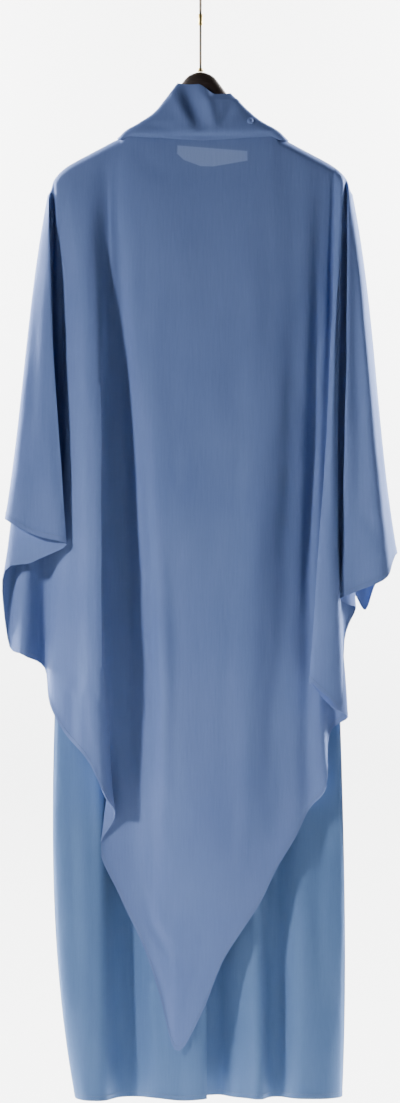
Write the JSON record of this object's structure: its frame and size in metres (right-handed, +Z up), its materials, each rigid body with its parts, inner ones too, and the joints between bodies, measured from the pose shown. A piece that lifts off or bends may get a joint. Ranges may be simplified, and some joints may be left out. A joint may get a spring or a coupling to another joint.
{
  "type": "djellaba on a hanger",
  "caption": "Two-layer crepe robe with a winged, pointed cape and a collapsed hood collar over a long dress, hung on a wooden hanger and seen from its back.",
  "frame": {"origin": "underside of the crown of the hanger's hook, where the rail touches it", "axes": "+Z up along the hook's shank, +X to the viewer's right as the robe's back is faced, -Y out of the back of the robe"},
  "size_m": [0.5676, 0.1087, 1.6001],
  "materials": {
    "cape_crepe": "matt crepe",
    "dress_crepe": "matt crepe",
    "label_tape": "soft satin tape",
    "dark_wood": "satin stain",
    "hook_brass": "polished",
    "hook_steel": "blackened"
  },
  "bodies": {
    "root": {"cape_back": "cape_crepe", "cape_front": "cape_crepe", "dress_back": "dress_crepe", "dress_front": "dress_crepe", "hood_collar": "cape_crepe", "nape_label": "label_tape", "collar_snap": "cape_crepe", "hanger": "dark_wood", "hook_ferrule": "hook_brass", "hook_wire": "hook_steel", "hook_band": "hook_brass"}
  },
  "joints": []
}
